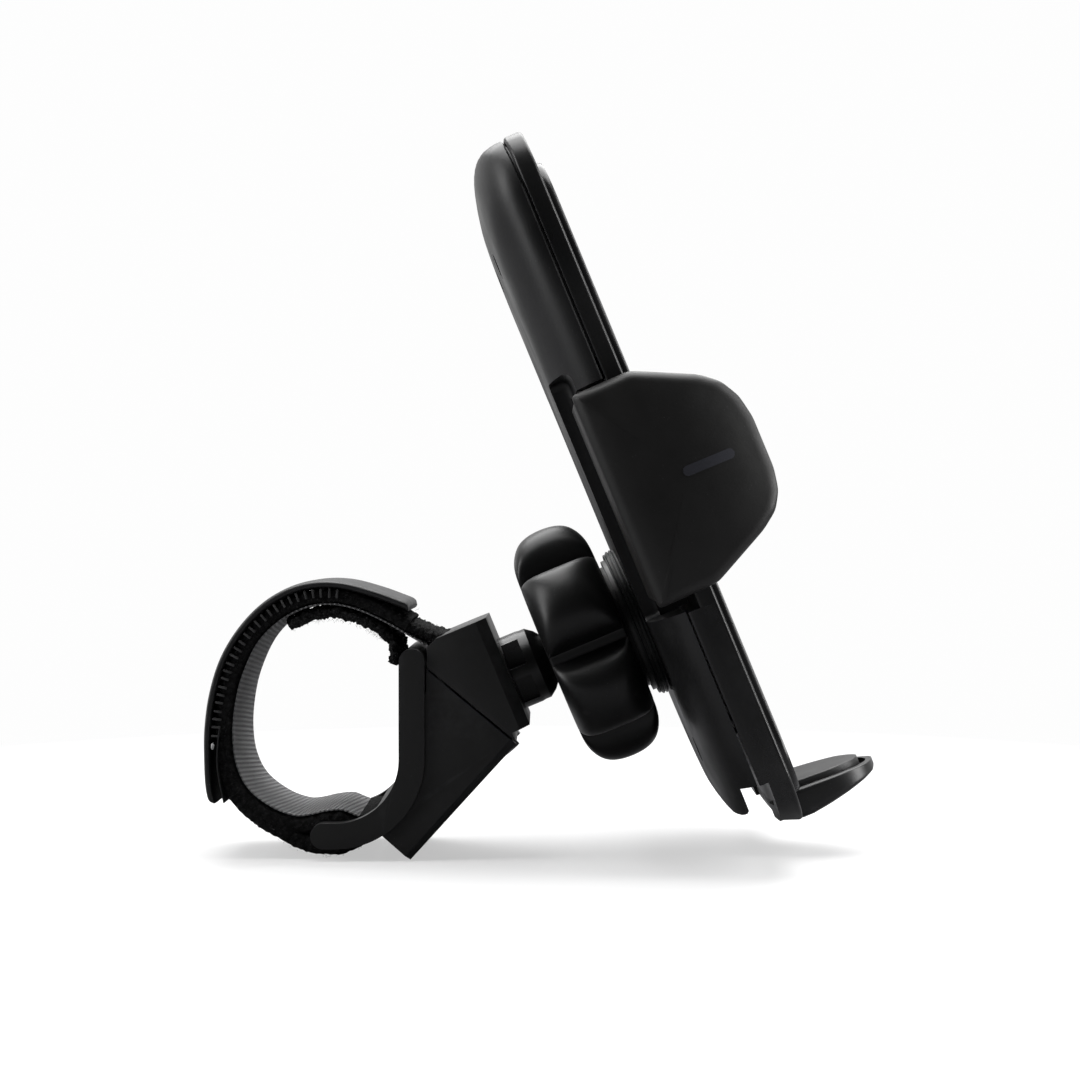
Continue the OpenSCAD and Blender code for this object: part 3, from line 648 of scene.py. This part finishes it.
def stitches():  # pale hooks along both edges, between the cover and the band
    points = 400
    line, length = evenly(spline(coverLine), points)
    pieces = []
    for side in (-1, 1):
        for k in range(int((length - hookSize["clear"]) / hookSize["apart"])):
            i = round((hookSize["first"] + k * hookSize["apart"]) / length * points)
            normal = leftSide(line, i)
            mid = line[i] - normal * hookSize["deep"]
            clearSelection()
            bpy.ops.mesh.primitive_cube_add(size=1)
            hook = bpy.context.object
            axes = Matrix(((normal.x, 0, -normal.y, 0), (0, 1, 0, 0), (normal.y, 0, normal.x, 0),
                           (0, 0, 0, 1)))
            tall = hookSize["tall"] + 0.25 * random.random()
            hook.data.transform(Matrix.Diagonal((tall, hookSize["wide"], hookSize["thick"], 1)))
            hook.data.transform(axes)
            edge = strapSize["half"] + hookSize["out"] + 0.025 * (random.random() - 0.5)
            hook.data.transform(Matrix.Translation((mid.x, side * edge, mid.y)))
            hook.data.transform(Matrix.Scale(mm, 4))
            pieces.append(hook)
    obj = merge(pieces, "coverHooks")
    roundEdges(obj, 0.1, 2)
    return obj


stripLine = [(-15.2, 0.4), (-15.5, -2.4), (-15.55, -5.4), (-15.1, -8.4), (-14.5, -11.2)]
strip = ribbon("looseStrip", stripLine, 0.0, 0.28, 10.9, (6, 40), 0.3)
finish(strip, "base", coverRubber, (), 60)
clearSelection()
bpy.ops.mesh.primitive_uv_sphere_add(segments=16, ring_count=10, radius=0.32 * mm)
knot = bpy.context.object
knot.name = "stitch"
knot.data.transform(Matrix.Translation(onBar(-16.1, -10.75, -2.4)) @ Matrix.Diagonal((0.8, 0.7, 1.7, 1)))
threadWhite = mouldedPlastic("threadWhite", (0.5, 0.5, 0.5), (0.7, 0.7, 0.7), 0.7, wear=0.2, dusty=0.1)
finish(knot, "base", threadWhite, (), 60)

hookGrey = mouldedPlastic("hookGrey", (0.045, 0.045, 0.046), (0.12, 0.12, 0.12), 0.5, wear=0.7, dusty=0.8)
hooks = stitches()
finish(hooks, "base", hookGrey, (), 40)

tailLine = [(-5.0, 17.2), (-2.0, 18.6), (2.0, 19.2), (5.8, 18.5), (9.4, 16.9), (11.4, 15.3)]
tail = ribbon("pileTail", tailLine, -1.75, 0.0, 9.6, (9, 150), 0.45, lumps(0.8, 0.5, 21.0, 1.3))
shortLine = [(10.2, 15.0), (11.6, 13.6), (12.1, 11.8), (11.6, 10.2)]
shortTail = ribbon("shortTail", shortLine, -0.9, 0.9, 8.8, (9, 60), 0.5, lumps(0.8, 0.6, 31.0, 1.3))
tail = merge([tail, shortTail], "pileTail")
finish(tail, "base", tuftBlack, ["pile_tail"], 60)
slotLine = [(11.6, 17.9), (13.6, 17.2), (15.8, 16.4), (18.0, 15.5), (20.0, 14.9)]
slotTail = ribbon("hookTape", slotLine, -1.9, -0.1, 9.4, (9, 110), 0.45, lumps(0.8, 0.5, 41.0, 1.3))
finish(slotTail, "base", tuftBlack, ["hook_tape"], 60)


def lint(count):  # short fibres that stand out of the pile's edges
    lines = [(evenly(spline(innerLine[:-1]), 300), 0.6, 3.0, 10.1),
             (evenly(spline(tailLine), 120), -2.1, -0.4, 9.7),
             (evenly(spline(slotLine[::2]), 60), -2.1, -0.1, 9.5),
             (evenly(spline(foldLine), 90), -2.6, 0.1, 10.1)]
    weights = [6, 3, 2, 2]
    verts, faces = [], []
    for _ in range(count):
        (line, length), near, far, half = random.choices(lines, weights)[0]
        i = random.randrange(2, len(line) - 2)
        normal = leftSide(line, i)
        side = random.choice((-1, 1))
        deep = random.random()
        root = line[i] + normal * (near + (far - near) * deep)
        p = Vector((root.x, side * half, root.y))
        out = Vector((random.uniform(-1, 1), side * random.uniform(0.1, 0.9), random.uniform(-1, 1)))
        if near < 0:
            out += Vector((-normal.x, 0, -normal.y)) * 0.8
        out.normalize()
        long = random.uniform(0.25, 0.8)
        thin = Vector((out.z, 0.3, -out.x)).normalized() * 0.022
        curl = Vector((random.uniform(-1, 1), 0, random.uniform(-1, 1))) * 0.25
        start = len(verts)
        for k in range(4):
            t = k / 3
            q = p + out * long * t + curl * t * t
            w = thin * (1 - 0.7 * t)
            verts += [(q + w) * mm, (q - w) * mm, (q + Vector((0, 0.03, 0))) * mm]
        for k in range(3):
            a = start + 3 * k
            for j in range(3):
                faces.append((a + j, a + (j + 1) % 3, a + 3 + (j + 1) % 3, a + 3 + j))
    mesh = bpy.data.meshes.new("lint")
    mesh.from_pydata(verts, [], faces)
    obj = bpy.data.objects.new("lint", mesh)
    bpy.context.scene.collection.objects.link(obj)
    return obj


lintGrey = pileMaterial("lintGrey", (0.02, 0.02, 0.02), (0.14, 0.14, 0.142), 0.4, 2500.0)
fibres = lint(2600)
finish(fibres, "base", lintGrey, (), 60)
print("strap ready")

lockNut = {"reach": 20.1, "lobe": 6.4, "valley": 13.9, "lip": 0.16, "lipWidth": 0.4, "soft": 2.2,
           "ends": (-6.8, 5.9)}


def nutSkin():  # one closed profile: six lobes with a full round rim outside, the mouth and the bore inside
    half = (lockNut["ends"][1] - lockNut["ends"][0]) / 2
    middle = sum(lockNut["ends"]) / 2
    centre = lockNut["reach"] - lockNut["lobe"]
    outside = []
    for i in range(41):
        a = math.pi * (i / 40 - 0.5)
        outside.append((middle + half * math.sin(a), lockNut["reach"] - half * (1 - math.cos(a)), True))
    inside = [(5.9, 12.9), (5.6, 12.6), (4.5, 12.5), (4.5, 10.5), (4.3, 10.3), (-1.0, 10.3), (-4.8, 9.1),
              (-5.0, 8.0), (-5.4, 7.9), (-6.4, 9.4), (-6.75, 10.3)]
    profile = outside + [(out, r, False) for out, r in inside]
    turns = 480

    def lobeRadius(phi):  # round lobes with a narrow channel between each two
        d = math.degrees(phi) % 60
        d = math.radians(min(d, 60 - d))
        room = lockNut["lobe"] ** 2 - (centre * math.sin(d)) ** 2
        r = centre * math.cos(d) + math.sqrt(room) if room > 0 else 0
        near = max(lockNut["lipWidth"] - abs(r - lockNut["valley"]), 0) / lockNut["lipWidth"]
        return max(r, lockNut["valley"]) + lockNut["lip"] * near * near

    def place(u, v):
        out, limit, lobed = profile[round(v * len(profile)) % len(profile)]
        phi = 2 * math.pi * (round(u * turns) % turns) / turns
        r = limit
        if lobed:
            lobe = lobeRadius(phi)
            h = max(lockNut["soft"] - abs(lobe - limit), 0) / lockNut["soft"]
            r = min(lobe, limit) - h * h * lockNut["soft"] / 4
        return onCradle(out, r * math.sin(phi), r * math.cos(phi))

    obj = sheetOfPoints("lockNut", turns, len(profile), place)
    tidyNormals(obj, 0.001)
    return obj


nut = nutSkin()
finish(nut, "nut", nutBlack, ["lock_nut"], 32)
socket = softCopy("ball_socket", "ballSocket", 0.12)
rings = []
for out, reach in ((7.45, 11.75), (8.0, 12.05), (8.55, 12.1), (9.05, 11.9)):
    clearSelection()
    bpy.ops.mesh.primitive_torus_add(major_radius=reach * mm, minor_radius=0.2 * mm, major_segments=120,
                                     minor_segments=14)
    ring = bpy.context.object
    facing = Matrix.Rotation(math.pi / 2 - stand["lean"], 4, "Y")
    ring.data.transform(Matrix.Translation(onCradle(out, 0, 0)) @ facing)
    rings.append(ring)
socket = merge([socket] + rings, "ballSocket")
finish(socket, "cradle", ballBlack, ["ball_socket"], 40)
print("nut and socket ready")

case = {"half": 30.0, "top": 74.6, "low": -35.5, "back": 9.2, "split": 16.4, "wall": 1.5, "crown": 16.0,
        "topCrown": 13.3, "lowCrown": 10.0, "topBow": 1.4, "lowBow": -1.6, "middle": 19.5}


plateCount = 180


def plate(half, low, top, topRound, lowRound, topBow, lowBow):  # a rounded oblong, bowed at both ends
    pts = []
    corners = ((half - topRound, top - topRound, topRound, 0), (-half + topRound, top - topRound, topRound, 90),
               (-half + lowRound, low + lowRound, lowRound, 180), (half - lowRound, low + lowRound, lowRound, 270))
    for cy, cp, r, start in corners:
        for i in range(17):
            a = math.radians(start + 90 * i / 16)
            pts.append(Vector((cy + r * math.cos(a), cp + r * math.sin(a))))
    line, length = evenly(pts + [pts[0]], plateCount)
    out = []
    middle = (low + top) / 2
    for q in line[:-1]:
        t = (q.y - middle) / (top - middle)
        bow = (topBow if t > 0 else lowBow) * max(0, 1 - (q.x / half) ** 2) * abs(t) ** 6
        out.append(Vector((q.x, q.y + bow)))
    return out


def levels(name, rings):  # rings of points, each (out, outline), joined in order and closed at both ends
    count = len(rings[0][1])

    def place(u, v):
        out, pts = rings[round(v * (len(rings) - 1))]
        q = pts[round(u * count) % count]
        return onCradle(out, q.x, q.y)

    obj = sheetOfPoints(name, count, len(rings) - 1, place)
    tidyNormals(obj, 0.0008)
    closeEnds(obj)
    return obj


def pod(name, inset):  # the shell's domed shape, from the parting line back
    rings = []
    steps = 18
    for i in range(steps + 1):
        a = math.pi / 2 * i / steps
        d = 1 - math.cos(a)
        e = d ** 1.75
        half = case["half"] - inset - case["crown"] * d
        low = case["low"] + inset + case["lowCrown"] * d
        top = case["top"] - inset - case["topCrown"] * e
        bow = 1 - 0.5 * d
        rings.append((case["split"] - (case["split"] - case["back"] - inset) * math.sin(a),
                      plate(half, low, top, max(3, 9 - inset), max(4, 13 - inset), case["topBow"] * bow,
                            case["lowBow"] * bow)))
    if not inset:  # small round at the parting edge
        first = rings[0][1]
        middle = case["middle"]
        edge = [(case["split"] - back, [Vector((q.x * wide, middle + (q.y - middle) * tall)) for q in first])
                for back, wide, tall in ((0.0, 0.992, 0.996), (0.08, 0.997, 0.9985))]
        rings = edge + [(case["split"] - 0.28, first)] + [r for r in rings[1:] if r[0] < case["split"] - 0.4]
    else:
        rings.insert(0, (case["split"] + 0.6, rings[0][1]))
    return levels(name, rings)


def cutRecess(obj, side, grow):  # a deep part behind the arm's plate, and a shorter one in the side wall
    for high, back, front, shift in ((39.3, 5.0, 12.3 + grow, 0.0), (36.2, 11.6, 18.0, 0.03)):
        near, far, low = 14 - grow + shift, 42 + shift, 0.3 - grow + shift
        pts = [(side * near, low), (side * far, low), (side * far, high + grow), (side * near, high + grow)]
        part = outline("recess", pts, lambda a, b, c: onCradle(b, a, c), back, front)
        if not grow and front < 13:
            roundEdges(part, 1.3, 4)
        cut(obj, part)


shell = pod("rearShell", 0.0)
hollow = pod("hollow", case["wall"])
for side in (-1, 1):
    cutRecess(hollow, side, 1.4)
cut(hollow, block("floor", onCradle, (4, -42, -60), (20, 42, -28.6)))
cut(shell, hollow)
for side in (-1, 1):
    cutRecess(shell, side, 0.0)
bosses = [(-9, 60, 16.2), (9, 60, 16.2), (-9, -21.5, 14.2), (9, -21.5, 14.2)]
for y, p, far in bosses:
    cut(shell, roundBar("boss", onCradle, (10.4, y, p), (far, y, p), 2.6), "UNION")
cut(shell, block("lowEnd", onCradle, (14.5, -42, -60), (20, 42, 0.45)))
tipCut = [(20, -27.1), (12.2, -27.1), (12.3, -31.1), (12.0, -31.7), (11.4, -32.1), (9.5, -32.4), (4, -32.5),
          (4, -60), (20, -60)]
cut(shell, outline("notch", tipCut, lambda a, b, c: onCradle(a, b, c), -42, 42))
for y, p, far in bosses:
    cut(shell, roundBar("hole", onCradle, (5, y, p), (20, y, p), 1.1))
    cut(shell, roundBar("well", onCradle, (5, y, p), (11.0, y, p), 2.1))
cut(shell, roundBar("spigotHole", onCradle, (5, 0, 0), (12, 0, 0), 6.05, 64))
cut(shell, block("rackSlot", onCradle, (12.9, -20, 23.4), (17.4, 20, 28.6)))
cut(shell, block("rackSlot", onCradle, (12.9, -20, 9.4), (17.4, 20, 14.6)))
cut(shell, block("portMouth", onCradle, (11.6, -5.2, -45), (20, 5.2, -28)))
finish(shell, "cradle", shellBlack, ["rear_shell"], 28)
print("rear shell ready")

frameSize = {"low": -33.4, "back": 16.6, "front": 19.4, "round": 0.5, "slope": 0.38}


def frameLine(inset, out=16.6):  # the lower end slopes a little, so the foot's root sits level
    low = frameSize["low"] - frameSize["slope"] * (out - frameSize["back"])
    return plate(case["half"] - inset, low + inset * 1.6, case["top"] - inset, max(2, 6.5 - inset), max(3, 9 - inset),
                 case["topBow"], -2.2)


def roundedPlate(name, back, front, line, edge, steps=6):
    turns = [math.pi / 2 * i / steps for i in range(steps + 1)]
    rings = [(back + edge * (1 - math.cos(a)), edge * (1 - math.sin(a))) for a in turns]
    rings += [(front - edge + edge * math.sin(a), edge * (1 - math.cos(a))) for a in turns]
    return levels(name, [(out, line(inset, out)) for out, inset in rings])


front = roundedPlate("frontFrame", frameSize["back"], frameSize["front"], frameLine, frameSize["round"])
cut(front, block("cellPocket", onCradle, (18.2, -20, -8), (22, 20, 60)))
skirt = levels("skirt", [(14.8, frameLine(0.25)), (15.0, frameLine(0.05)), (15.2, frameLine(-0.02)),
                         (16.6, frameLine(-0.02)), (18.8, frameLine(-0.02, 18.8)), (18.85, frameLine(0.2, 18.8))])
cut(skirt, levels("inner", [(14.0, frameLine(1.5)), (17.2, frameLine(1.5))]))
cut(skirt, block("upper", onCradle, (10, -42, 0.1), (22, 42, 90)))
cut(skirt, block("notch", onCradle, (10, -42, -60), (16.1, 42, -27.1)))
cut(skirt, block("mouth", onCradle, (10, -12, -60), (16.6, 12, -20)))
front = merge([front, skirt], "frontFrame")

foot = {"root": 18.2, "tip": 34.8, "half": 9.0, "rim": 1.0, "tray": 1.1}
footTop = [(18.0, -32.9), (24.0, -33.3), (30.0, -33.8), (34.2, -34.4)]
footLow = [(18.0, -36.6), (19.0, -37.6), (20.4, -38.2), (22.4, -38.2), (25.5, -37.8), (29.0, -37.2), (32.0, -36.6),
           (34.0, -36.1), (34.8, -35.4)]


def lookUp(table, x):
    for (a, b), (c, d) in zip(table, table[1:]):
        if x <= c:
            return b + (d - b) * (x - a) / (c - a)
    return table[-1][1]


def footPiece(name, inset, low, high, start=None):  # stations along the foot, each a rounded oblong across it
    stations = 44
    first = start or foot["root"]
    tip = foot["tip"] - inset

    def place(u, v):
        x = first + (tip - first) * math.sin(math.pi / 2 * v)
        t = max(0, (x - 22) / (tip - 22))
        half = (foot["half"] - inset) * (1 - t ** 3.2) ** (1 / 1.9) * (1 - 0.16 * t)
        half = max(half, 0.01)
        top, under = high(x), low(x)
        a = 2 * math.pi * (round(u * 64) % 64 + 0.5) / 64
        c, s = math.cos(a), math.sin(a)
        y = math.copysign(abs(c) ** (0.16 if s > 0 else 0.42), c) * half
        z = math.copysign(abs(s) ** (0.16 if s > 0 else 0.42), s)
        return onCradle(x, y, (top + under) / 2 + z * (top - under) / 2)

    obj = sheetOfPoints(name, 64, stations, place)
    tidyNormals(obj, 0.002)
    closeEnds(obj)
    return obj


toe = footPiece("foot", 0.0, lambda x: lookUp(footLow, x), lambda x: lookUp(footTop, x))
cut(toe, footPiece("tray", foot["rim"], lambda x: lookUp(footTop, x) - foot["tray"], lambda x: lookUp(footTop, x) + 1.5, 19.6))
front = merge([front, toe], "frontFrame")
finish(front, "cradle", frameBlack, ["front_frame"], 28)
pad = footPiece("footPad", 2.1, lambda x: lookUp(footTop, x) - foot["tray"] + 0.05, lambda x: lookUp(footTop, x) + 0.95, 21.1)
roundEdges(pad, 0.2, 2, 50)
finish(pad, "cradle", padRubber, ["foot_pad"], 40)
print("front frame and foot ready")


def panelSkin():
    edge = 1.1
    rings = [(19.42, 0.0, 1.0), (19.9, 0.0, 1.0)]
    for i in range(1, 7):
        a = math.pi / 2 * i / 6
        rings.append((19.9 + edge * math.sin(a), edge * (1 - math.cos(a)), 1.0))
    for i in range(1, 13):
        rings.append((19.9 + edge, edge, 1 - i / 12))

    def place(u, v):
        out, inset, scale = rings[round(v * (len(rings) - 1))]
        pts = plate(25.4 - inset, -31.5 + inset, 70.2 - inset, 6, 8, 0.9, -1.0)
        q = pts[round(u * 180) % 180]
        y, p = q.x * scale, 18.75 + (q.y - 18.75) * scale
        dome = 0.55 * max(0, 1 - (y / 25.4) ** 2) * min(1, (out - 19.42) / 1.5)
        return onCradle(out + dome - 0.25 * (out > 20.8), y, p)

    memory = {}

    def quick(u, v):
        key = (round(u * 180) % 180, round(v * (len(rings) - 1)))
        if key not in memory:
            memory[key] = place(u, v)
        return memory[key]

    obj = sheetOfPoints("frontPanel", 180, len(rings) - 1, quick)
    tidyNormals(obj, 0.001)
    return obj


face = panelSkin()
finish(face, "cradle", panelBlack, ["front_panel"], 35)

armSize = {"inner": 32.6, "edge": 33.1, "shoulder": 34.95, "crest": 35.5, "rim": 1.6, "middle": (22.0, 19.0)}
armCorners = [(10.9, 2.4), (10.9, 35.4), (20.0, 35.6), (29.0, 31.3), (31.6, 29.2), (33.2, 26.3), (33.9, 22.8),
              (33.9, 14.8), (33.3, 11.6), (31.8, 9.1), (29.2, 7.2), (20.2, 2.7)]


def armLine(count=216):
    line, length = evenly([Vector(q) for q in armCorners + armCorners[:1]], count)
    pts = line[:-1]
    for _ in range(3):
        pts = [(pts[i - 1] + 2 * pts[i] + pts[(i + 1) % count]) / 4 for i in range(count)]
    return pts


def armSkin(sign):
    pts = armLine()
    count = len(pts)
    normals = []
    for i in range(count):
        d = pts[(i + 2) % count] - pts[i - 2]
        normals.append(Vector((d.y, -d.x)).normalized())
    centre = Vector(armSize["middle"])
    rings = [(0.6, s, armSize["inner"]) for s in (0.02, 0.35, 0.7, 1.0)]
    rings += [(0.2, 1.0, armSize["inner"] + 0.15), (0.0, 1.0, armSize["edge"])]
    for i in range(1, 8):
        a = math.pi / 2 * i / 7
        rings.append((armSize["rim"] * (1 - math.cos(a)), 1.0,
                      armSize["edge"] + (armSize["shoulder"] - armSize["edge"]) * math.sin(a)))
    for i in range(1, 15):
        s = 1 - i / 14 * 0.995
        rings.append((armSize["rim"], s, armSize["shoulder"] + (armSize["crest"] - armSize["shoulder"]) * (1 - s * s)))

    def place(u, v):
        inset, scale, side = rings[round(v * (len(rings) - 1))]
        i = round(u * count) % count
        q = pts[i] + normals[i] * inset
        q = centre + (q - centre) * scale
        if side > armSize["inner"] + 0.2:
            forward = max(0, (q.x - 24) / 10)
            upper = max(0, (q.y - 29) / 6.5)
            rear = max(0, (15.5 - q.x) / 4.6)
            side -= (1.9 * forward ** 2 + 0.9 * rear ** 2) * min(1, (side - armSize["inner"]) / 2.4) + 0.3 * upper ** 2
        return onCradle(q.x, sign * side, q.y)

    obj = sheetOfPoints("armPlate", count, len(rings) - 1, place)
    tidyNormals(obj, 0.002)
    plateLow = (10.9, -33.0, 3.4) if sign < 0 else (10.9, 16.5, 3.4)
    plateHigh = (12.9, -16.5, 34.4) if sign < 0 else (12.9, 33.0, 34.4)
    carriage = block("carriage", onCradle, plateLow, plateHigh)
    roundEdges(carriage, 0.3, 3)
    return merge([obj, carriage], "armLeft" if sign < 0 else "armRight")


def markSkin(sign):  # a round-ended strip that follows the plate
    def place(u, v):
        x = 25.35 + (u - 0.5) * 7.9
        over = max(0, (abs(x - 25.35) - 3.2) / 0.75)
        half = 0.75 * math.sqrt(max(0, 1 - over ** 2))
        side = 35.5 - 0.55 * ((x - 22) / 10.3) ** 2 - 1.9 * max(0, (x - 24) / 10) ** 2
        return onCradle(x, sign * (side - 0.11), 19.1 + (2 * v - 1) * half)

    obj = sheetOfPoints("armMark", 44, 6, place)
    tidyNormals(obj, 0.001)
    modify(obj, "SOLIDIFY", thickness=0.34 * mm, offset=0.0)
    return obj


for sign, side in ((-1, "left"), (1, "right")):
    finish(armSkin(sign), "carriage_" + side, armBlack, ["arm_" + side], 30)
    finish(markSkin(sign), "carriage_" + side, markGrey, ["arm_mark_" + side], 30)
    finish(softCopy("arm_pad_" + side, "armPad" + side.title(), 0.15, 2), "carriage_" + side, padRubber,
           ["arm_pad_" + side], 30)
print("arms ready")

inner = {
    "zincSteel": ["stud_screw", "cap_screws", "strap_pin", "socket_clip", "case_screws", "charge_port", "motor",
                  "motor_shaft", "pinion_axle", "rack_screws_left", "rack_screws_right"],
    "linerNylon": ["ball_liner", "thrust_ring", "gearbox", "pinion_gear", "rack_left", "rack_right"],
    "padRubber": ["seat_pad", "case_gasket"],
    "cutBrass": ["drive_gear"],
    "cellFoil": ["battery"],
    "boardGreen": ["circuit_board"],
    "siliconCell": ["solar_cell"],
}
for material, names in inner.items():
    for name in names:
        nodes[name].data.materials.clear()
        nodes[name].data.materials.append(bpy.data.materials[material])
print("inner pieces ready")
